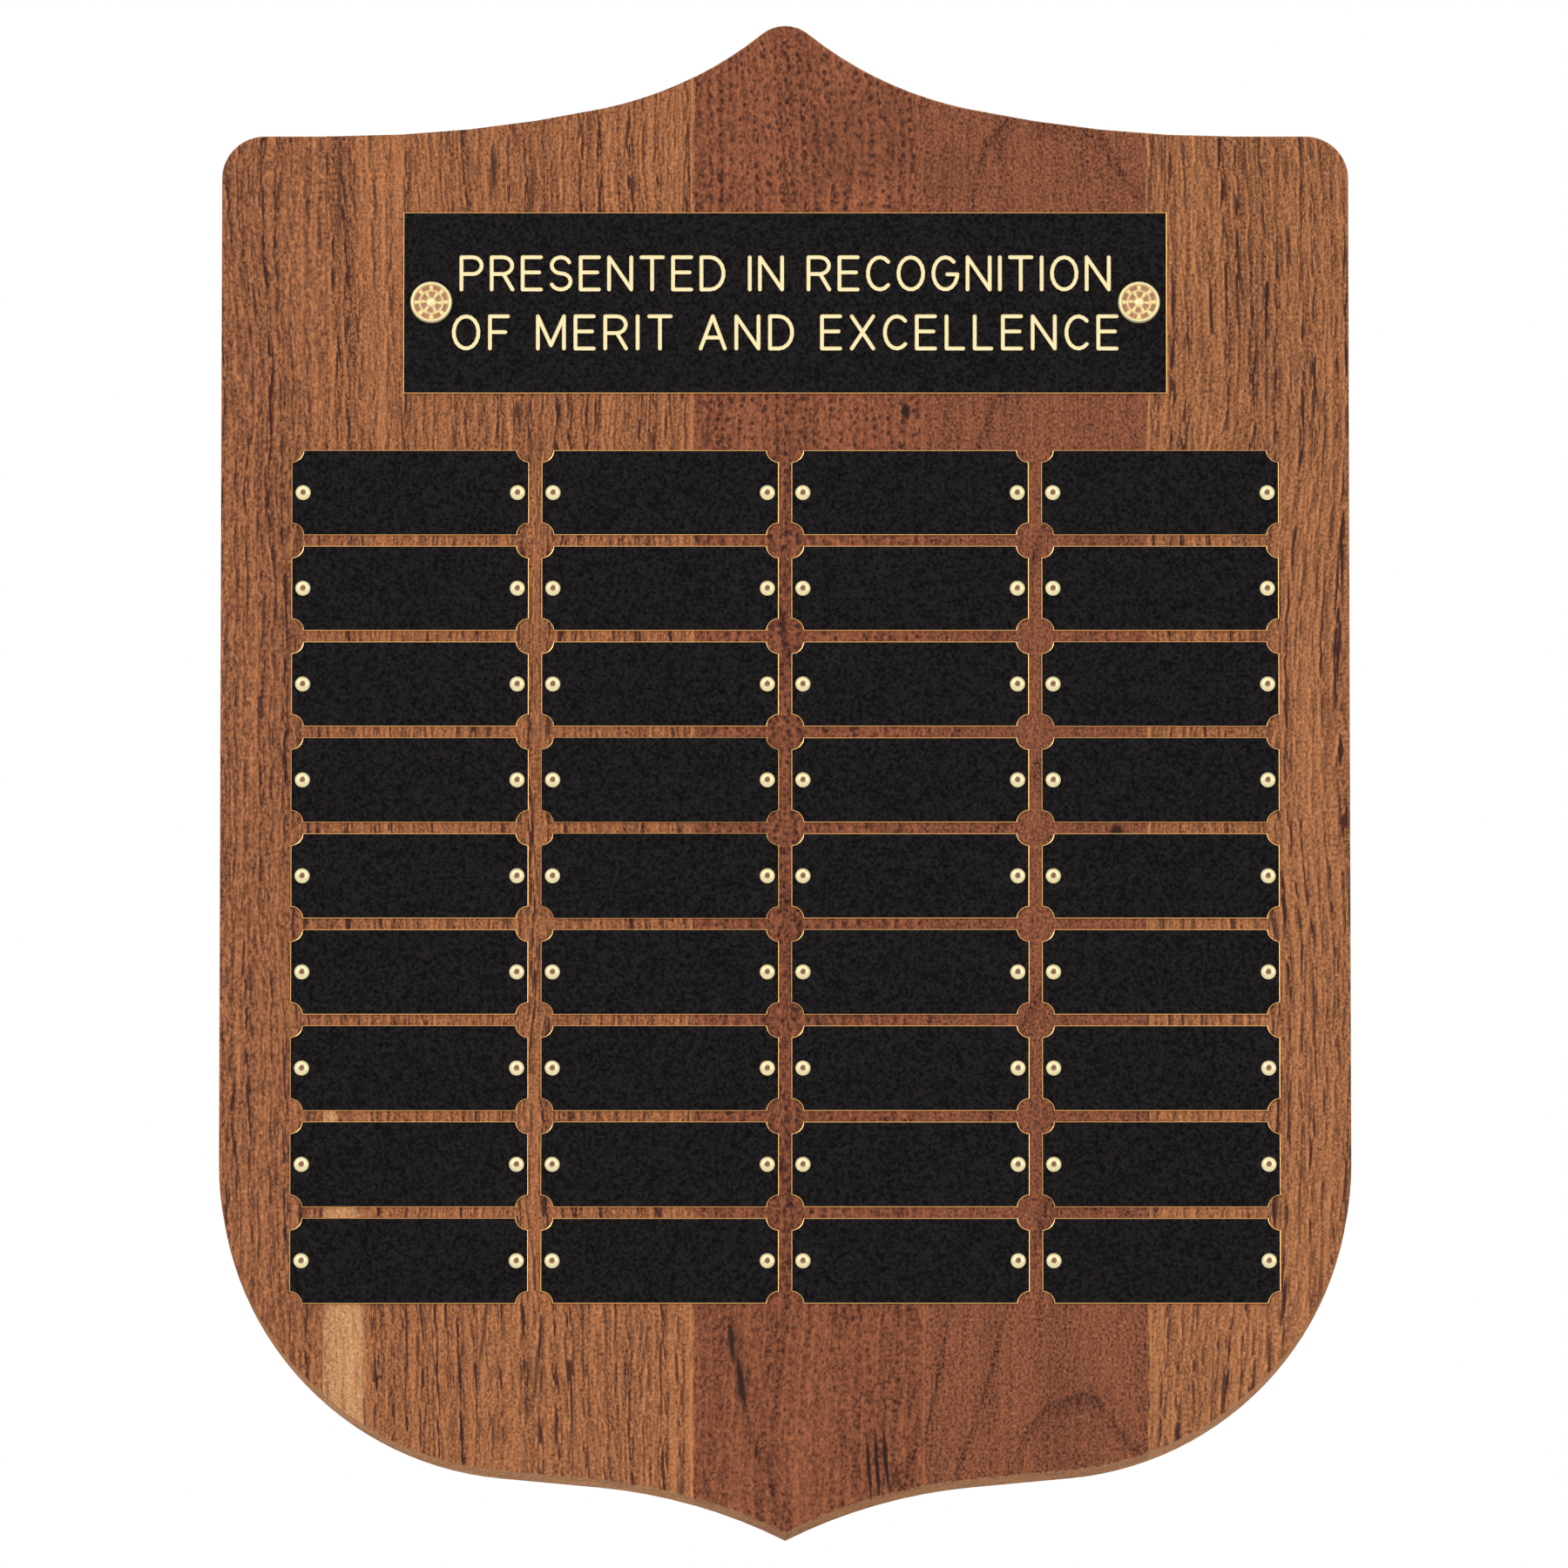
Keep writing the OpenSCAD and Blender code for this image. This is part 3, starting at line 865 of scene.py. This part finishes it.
def line_strokes(text, width, left, base):
    """All the strokes of one line of capitals, spaced so that the line has the given width."""
    tall = CAPITAL - STROKE
    inked = sum(glyph_width(letter) for letter in text if letter != " ") * tall
    gaps = 0.0
    for first, second in zip(text, text[1:]):
        gaps += 1.0 if " " not in (first, second) else WORD_SPACE / 2
    gap = (width - STROKE - inked) / gaps
    x, floor = left + STROKE / 2, base + STROKE / 2
    strokes = []
    for letter, after in zip(text, text[1:] + text[-1]):
        if letter != " ":
            for points in GLYPHS[letter]:
                strokes.append([(x + px * tall, floor + py * tall) for px, py in points])
            x += glyph_width(letter) * tall
        x += gap * (WORD_SPACE / 2 if " " in (letter, after) else 1.0)
    return strokes


def round_ended_rim(solid, start, end, y, half_width):
    """Corners round a straight bar with round ends, at one depth."""
    along = Vector((end[0] - start[0], end[1] - start[1]))
    heading = math.atan2(along.y, along.x)
    rim = []
    for centre, offset in ((end, -math.pi / 2), (start, math.pi / 2)):
        for step in range(ROUND_END_STEPS + 1):
            turn = heading + offset + math.pi * step / ROUND_END_STEPS
            x = centre[0] + half_width * math.cos(turn)
            z = centre[1] + half_width * math.sin(turn)
            rim.append(solid.verts.new((x, y, z)))
    return rim


def add_groove(solid, start, end, face_y):
    """A round-ended cutter along one straight stretch, narrower at the bottom of its cut."""
    top, bottom = STROKE / 2 + CUTTER_FLARE, STROKE / 2 - GROOVE_TAPER
    outer = round_ended_rim(solid, start, end, face_y - CUTTER_ABOVE, top)
    inner = round_ended_rim(solid, start, end, face_y + GROOVE_DEPTH, bottom)
    solid.faces.new(outer)
    solid.faces.new(list(reversed(inner)))
    for i in range(len(outer)):
        j = (i + 1) % len(outer)
        solid.faces.new([outer[j], outer[i], inner[i], inner[j]])


def letter_cutter(low, high, material):
    """One piece with a cutter for each straight stretch of each stroke of both lines."""
    solid = bmesh.new()
    middle_x, middle_z = (low.x + high.x) / 2, (low.z + high.z) / 2
    bases = (middle_z + LINE_GAP / 2, middle_z - LINE_GAP / 2 - CAPITAL)
    for (text, share), base in zip(LINES, bases):
        width = share * (high.x - low.x)
        for points in line_strokes(text, width, middle_x - width / 2, base):
            for start, end in zip(points, points[1:]):
                add_groove(solid, start, end, low.y)
    bmesh.ops.recalc_face_normals(solid, faces=solid.faces)
    return finished(solid, "letter_cutter", [material])


def cut(piece, cutter):
    """Takes the cutter out of the piece's mesh. The cut faces keep the cutter's material."""
    modifier = piece.modifiers.new("cut", "BOOLEAN")
    modifier.operation = "DIFFERENCE"
    modifier.solver = "EXACT"
    modifier.use_self = True
    modifier.material_mode = "TRANSFER"
    modifier.object = cutter
    bpy.context.view_layer.update()
    graph = bpy.context.evaluated_depsgraph_get()
    mesh = bpy.data.meshes.new_from_object(piece.evaluated_get(graph))
    piece.modifiers.remove(modifier)
    piece.data = mesh
    bpy.data.objects.remove(cutter)


def front_rim(solid, low, high):
    """Edges of a plate's front face, but not those of its pin holes."""
    found = []
    for edge in solid.edges:
        if any(abs(vert.co.y - low.y) > NEAR for vert in edge.verts):
            continue
        if not any(abs(face.normal.y) < 0.1 for face in edge.link_faces):
            continue
        middle = (edge.verts[0].co + edge.verts[1].co) / 2
        mid_height = abs(middle.z - (low.z + high.z) / 2) < PIN_HOLE_REACH
        inside = min(middle.x - low.x, high.x - middle.x) > NEAR
        if not (mid_height and inside):
            found.append(edge)
    return found


def plate_solid(node):
    """A plate with the front of its edge turned down."""
    low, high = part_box(node)
    solid = whole_mesh(node)
    bevel(solid, front_rim(solid, low, high), SHEARED_EDGE, segments=2)
    return solid


def make_plates():
    """The blank name plates, and the header plate with its words cut into it."""
    lacquer = lacquered_plate()
    for node in NAME_PLATES:
        piece = finished(plate_solid(node), "black_" + node, [lacquer])
        stands_for(piece, node)
    header = finished(plate_solid("header_plate"), "engraved_header", [lacquer])
    low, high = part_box("header_plate")
    cut(header, letter_cutter(low, high, engraved_brass()))
    stands_for(header, "header_plate")


# ---- Pins and tacks ----

# A pin's head: the steps and segments of its dome, its rim's height as a share of the dome's,
# its underside's radius as a share of the head's, and the painted shade of each ring, from the
# middle, which darkens the dome's middle to stand in for the dark front that it mirrors
DOME_STEPS = 10
PIN_SEGMENTS = 28
DOME_RIM = 0.05
HEAD_UNDERSIDE = 0.97
DOME_PAINTED_SHADE = (1.0, 1.0, 1.0, 0.95, 0.5)

# Its shank: its radius as a share of the head's, where its point starts as a share of its
# length, and the point's end as a share of its radius
PIN_SHANK = 0.3
POINT_START = 0.84
POINT_END = 0.25


def pin_profile(head, tall, length):
    """A pin from the top of its dome to its point, as pairs of radius and height."""
    ball = (head * head + tall * tall) / (2 * tall)
    profile = [(0, tall)]
    for step in range(1, DOME_STEPS + 1):
        out = head * step / DOME_STEPS
        dome = tall - ball + math.sqrt(ball * ball - out * out)
        profile.append((out, max(DOME_RIM * tall, dome)))
    shank = PIN_SHANK * head
    profile += [(HEAD_UNDERSIDE * head, 0), (shank, 0), (shank, -POINT_START * length)]
    return profile + [(POINT_END * shank, -length), (0, -length)]


def make_pins():
    """Round-headed escutcheon pins: a low dome with a small rolled edge, and a thin shank."""
    plate_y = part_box(NAME_PLATES[0])[0].y
    solid = bmesh.new()
    hollow = solid.verts.layers.float.new("hollow")
    for low, high in solids_of("name_plate_pins"):
        profile = pin_profile((high.x - low.x) / 2, plate_y - low.y, high.y - plate_y)
        rings = lathe(solid, profile, (low + high) / 2, plate_y, PIN_SEGMENTS)
        # Painted shade: the dome's middle rings are made dark, dull and less metallic, standing in
        # for the dark front that a shiny dome mirrors
        for ring, depth in zip(rings, DOME_PAINTED_SHADE):
            for vert in ring:
                vert[hollow] = depth
    bmesh.ops.recalc_face_normals(solid, faces=solid.faces)
    brass = polished_brass("pin_brass", 0.20, 0.5, PIN_TARNISH_AND_SHADE)
    piece = finished(solid, "brass_pins", [brass], sharp_degrees=40)
    stands_for(piece, "name_plate_pins")


# The zones of a tack's face: each one's middle and half width, as shares of the head's radius
BOSS = (0.0, 0.235)
DIMPLES = (0.10, 0.07)
PETALS = (0.37, 0.15)
INNER_RING = (0.56, 0.055)
SPOKES = (0.71, 0.125)
RIM = (0.91, 0.095)
SPOKE_COUNT, PETAL_COUNT, DIMPLE_COUNT = 8, 6, 2

# How high they stand on the face's floor or the rings' own, as shares of the tack's height
FACE_FLOOR, RING_FLOOR = 0.26, 0.2
BOSS_HIGH, PETAL_HIGH, SPOKE_HIGH = 0.46, 0.48, 0.40
INNER_RING_HIGH, RIM_HIGH = 0.50, 0.72
DIMPLE_DEPTH = 0.10

# A tack: the rings and segments of its face, its underside's and its shank's radius as shares
# of the head's, and its tip's as a share of the shank's
FACE_RINGS, FACE_SEGMENTS = 44, 96
TACK_UNDERSIDE = 0.985
TACK_SHANK = 0.16
TACK_TIP = 0.3


def hump(value, centre, half_width):
    """A rounded ridge: 1 at the centre and 0 at half_width from it."""
    away = abs(value - centre) / half_width
    return math.sqrt(1 - away * away) if away < 1 else 0.0


def lobes(count, turn, power, start=0.0):
    """count equal lobes round a circle: 1 at the middle of each, and 0 between them."""
    return max(0.0, math.cos(count * turn + start)) ** power


def rosette(share, turn):
    """A tack's pressed face: its height from 0 to 1, and how deep in a recess it lies, where the
    brass is tarnished and dark.
    """
    spoke_zone, petal_zone = hump(share, *SPOKES), hump(share, *PETALS)
    spokes = lobes(SPOKE_COUNT, turn, 0.7)
    petals = lobes(PETAL_COUNT, turn, 0.8, start=0.5)
    boss = BOSS_HIGH * hump(share, *BOSS)
    ring = max(RIM_HIGH * hump(share, *RIM), INNER_RING_HIGH * hump(share, *INNER_RING))
    raised = max(SPOKE_HIGH * spokes * spoke_zone, PETAL_HIGH * petals * petal_zone, boss)
    height = max(FACE_FLOOR + raised, RING_FLOOR + ring)
    height -= DIMPLE_DEPTH * lobes(DIMPLE_COUNT, turn, 3) * hump(share, *DIMPLES)
    hollow = max((1 - spokes) * spoke_zone, (1 - petals) * petal_zone)
    return height, hollow


def tack_line(radius, tall, face_y, tip_y, turn):
    """A tack's places in one direction, from its face to its tip: radius, y and share of tarnish in
    the recesses.
    """
    line = []
    for ring in range(1, FACE_RINGS + 1):
        share = ring / FACE_RINGS
        height, hollow = rosette(share, turn)
        line.append((share * radius, face_y - height * tall, hollow))
    shank = TACK_SHANK * radius
    line += [(TACK_UNDERSIDE * radius, face_y, 0.0), (shank, face_y, 0.0)]
    return line + [(TACK_TIP * shank, tip_y, 0.0)]


def add_tack(points, faces, hollows, low, high, face_y):
    """Adds one tack, as rings of points round its middle, to the lists of the mesh's parts."""
    radius, tall = (high.x - low.x) / 2, face_y - low.y
    middle_x, middle_z = (low.x + high.x) / 2, (low.z + high.z) / 2
    turns = [2 * math.pi * step / FACE_SEGMENTS for step in range(FACE_SEGMENTS)]
    lines = [tack_line(radius, tall, face_y, high.y, turn) for turn in turns]
    start = len(points)
    points.append((middle_x, face_y - rosette(0, 0)[0] * tall, middle_z))
    hollows.append(0.0)
    for ring in zip(*lines):
        for turn, (out, y, hollow) in zip(turns, ring):
            points.append((middle_x + out * math.cos(turn), y, middle_z + out * math.sin(turn)))
            hollows.append(hollow)
    first_ring = start + 1
    last_ring = first_ring + (len(lines[0]) - 1) * FACE_SEGMENTS
    for step in range(FACE_SEGMENTS):
        after = (step + 1) % FACE_SEGMENTS
        faces.append((start, first_ring + step, first_ring + after))
        for inner in range(first_ring, last_ring, FACE_SEGMENTS):
            outer = inner + FACE_SEGMENTS
            faces.append((inner + step, outer + step, outer + after, inner + after))
    faces.append(tuple(last_ring + step for step in reversed(range(FACE_SEGMENTS))))


def make_tacks():
    """Tacks with a pressed rosette: a rolled rim, eight hollows, six petals and a boss."""
    face_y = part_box("header_plate")[0].y
    points, faces, hollows = [], [], []
    for low, high in solids_of("header_tacks"):
        add_tack(points, faces, hollows, low, high, face_y)
    mesh = mesh_from("brass_tacks", points, faces)
    dark = mesh.attributes.new("hollow", "FLOAT", "POINT")
    dark.data.foreach_set("value", hollows)
    mesh.materials.append(polished_brass("tack_brass", 0.36, 0.5, TACK_TARNISH))
    solid = bmesh.new()
    solid.from_mesh(mesh)
    bmesh.ops.recalc_face_normals(solid, faces=solid.faces)
    solid.to_mesh(mesh)
    solid.free()
    mesh.set_sharp_from_angle(angle=math.radians(50))
    stands_for(new_piece("brass_tacks", mesh), "header_tacks")


# ---- Hanger ----

HANGER_EDGE = 0.12 * MM
SHARP_EDGE = math.radians(30)


def back_edges(solid, back_y):
    """Sharp edges that lie in the back plane."""
    return [
        edge for edge in solid.edges
        if all(abs(vert.co.y - back_y) < NEAR for vert in edge.verts)
        and len(edge.link_faces) == 2
        and edge.calc_face_angle(0) > SHARP_EDGE
    ]


def make_hanger():
    """The keyhole hanger's plate and its two screws, with softened edges."""
    parts = (
        ("hanger_plate", "steel_hanger", plated_steel("zinc_plate", ZINC, 0.30)),
        ("hanger_screws", "steel_screws", plated_steel("zinc_screw", YELLOW_ZINC, 0.26)),
    )
    for node, name, metal in parts:
        solid = whole_mesh(node)
        edges = back_edges(solid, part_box(node)[1].y)
        bevel(solid, edges, HANGER_EDGE, segments=2)
        piece = finished(solid, name, [metal], sharp_degrees=32)
        stands_for(piece, node)


# ---- Stage, light and camera ----

VIEW_WIDTH = 418.5 * MM
VIEW_DISTANCE = 6.5
VIEW_TILT = 8.0
AIM_OFFSET = Vector((-0.3, 0, -2.1)) * MM
SENSOR = 36.0

FLOOR_DROP = 4.0
FLOOR_HALF = 30
FLOOR_GREY, FLOOR_PALE = (0.80, 0.80, 0.80, 1), (0.84, 0.84, 0.84, 1)

# The studio's light all round, and the darker gap in front: its level, the tilt of its middle
# and the angles from its middle where it starts to lighten and ends
STUDIO_LEVEL = 1.05
GAP_LEVEL = 0.30
GAP_TILT = 2
GAP_INSIDE, GAP_OUTSIDE = 18, 38

# Name, place from the middle of the plaque and width, in metres, and power
SOFTBOXES = (
    ("key_softbox", (-1.5, -1.6, 1.3), 1.1, 16),
    ("fill_softbox", (1.8, -1.4, 0.4), 1.3, 8),
)


def make_floor():
    """A wide pale floor far below the plaque, which hangs as on a wall."""
    corners = [(-1, -1), (1, -1), (1, 1), (-1, 1)]
    points = [(x * FLOOR_HALF, y * FLOOR_HALF, 0) for x, y in corners]
    mesh = mesh_from("pale_floor", points, [(0, 1, 2, 3)])
    floor = new_piece("pale_floor", mesh)
    floor.location.z = cad_low.z - FLOOR_DROP
    shader = material_shader("pale_floor")
    place = shader.add("ShaderNodeTexCoord").outputs["Object"]
    mottle = shader.noise(place, detail=3.0, scale=1.4)
    colour = shader.mix(mottle, FLOOR_GREY, FLOOR_PALE)
    mesh.materials.append(shader.surface(Base_Color=colour, Roughness=0.9))


def make_world():
    """A white studio all round, with a darker gap on the front's side for the camera."""
    shader = Shader(bpy.data.worlds.new("studio"))
    heading = shader.add("ShaderNodeTexCoord").outputs["Generated"]
    tilt = math.radians(GAP_TILT)
    inputs = {0: heading, 1: (0, -math.cos(tilt), math.sin(tilt))}
    toward = shader.add("ShaderNodeVectorMath", inputs, operation="DOT_PRODUCT").outputs["Value"]
    outside, inside = (math.cos(math.radians(angle)) for angle in (GAP_OUTSIDE, GAP_INSIDE))
    level = shader.ranged(toward, outside, inside, STUDIO_LEVEL, GAP_LEVEL)
    seen = shader.add("ShaderNodeLightPath").outputs["Is Camera Ray"]
    level = shader.add("ShaderNodeMix", {0: seen, 2: level, 3: 1.0}, data_type="FLOAT").outputs[0]
    background = shader.add("ShaderNodeBackground", {0: (1, 1, 1, 1), 1: level}).outputs[0]
    shader.add("ShaderNodeOutputWorld", {0: background})
    bpy.context.scene.world = shader.owner


def make_lights():
    """Wide soft lights in front of the plaque, all facing its middle."""
    centre = (cad_low + cad_high) / 2
    for name, place, width, power in SOFTBOXES:
        light = bpy.data.lights.new(name, "AREA")
        light.shape = "DISK"
        light.size = width
        light.energy = power
        lamp = bpy.data.objects.new(name, light)
        lamp.location = centre + Vector(place)
        lamp.rotation_mode = "QUATERNION"
        lamp.rotation_quaternion = (centre - lamp.location).to_track_quat("-Z", "Y")
        bpy.context.scene.collection.objects.link(lamp)


def make_camera():
    """A distant camera a little below the plaque's middle, looking up at it."""
    centre = (cad_low + cad_high) / 2
    aim = Vector((centre.x, FRONT_Y, centre.z)) + AIM_OFFSET
    tilt = math.radians(VIEW_TILT)
    data = bpy.data.cameras.new("view")
    data.sensor_width = SENSOR
    data.lens = SENSOR * VIEW_DISTANCE / VIEW_WIDTH
    data.clip_start, data.clip_end = 0.1, 60
    camera = bpy.data.objects.new("view", data)
    away = Vector((0, -math.cos(tilt), -math.sin(tilt)))
    camera.location = aim + away * VIEW_DISTANCE
    camera.rotation_mode = "QUATERNION"
    camera.rotation_quaternion = (-away).to_track_quat("-Z", "Y")
    bpy.context.scene.collection.objects.link(camera)
    bpy.context.scene.camera = camera


make_board()
make_plates()
make_pins()
make_tacks()
make_hanger()
make_floor()
make_world()
make_lights()
make_camera()
bpy.context.scene.view_settings.view_transform = "Standard"
